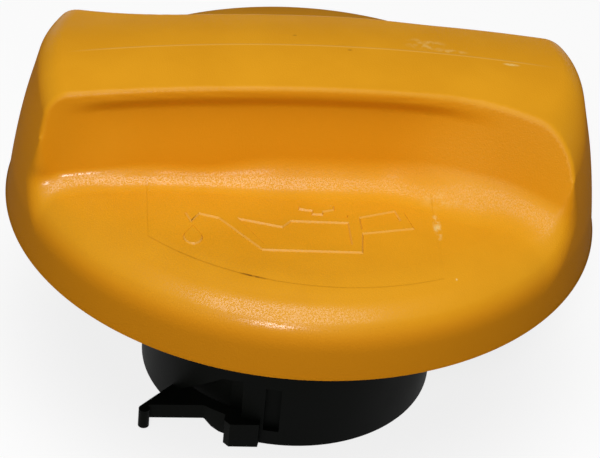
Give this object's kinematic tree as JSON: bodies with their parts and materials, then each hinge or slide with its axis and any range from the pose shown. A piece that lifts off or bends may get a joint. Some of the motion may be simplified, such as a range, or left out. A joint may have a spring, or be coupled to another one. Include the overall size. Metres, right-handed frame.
{
  "type": "oil filler cap",
  "caption": "Bayonet oil filler cap with a raised grip bar on a domed plastic cover, a black spigot with cam fingers and a rubber seal.",
  "frame": {"origin": "on the cap's axis, in the plane of the seal's lower face, where the filler neck's rim presses", "axes": "+Z along the cap's axis out of the engine, X along the grip bar, -Y towards the side with the oil-can symbol"},
  "size_m": [0.074, 0.074, 0.0477],
  "materials": {
    "cover_plastic": "yellow-orange moulded plastic with a fine grain",
    "insert_plastic": "black moulded plastic",
    "seal_rubber": "black oil-resistant rubber"
  },
  "bodies": {
    "root": {"cap_cover": "cover_plastic", "bayonet_insert": "insert_plastic", "seal_ring": "seal_rubber"}
  },
  "joints": []
}
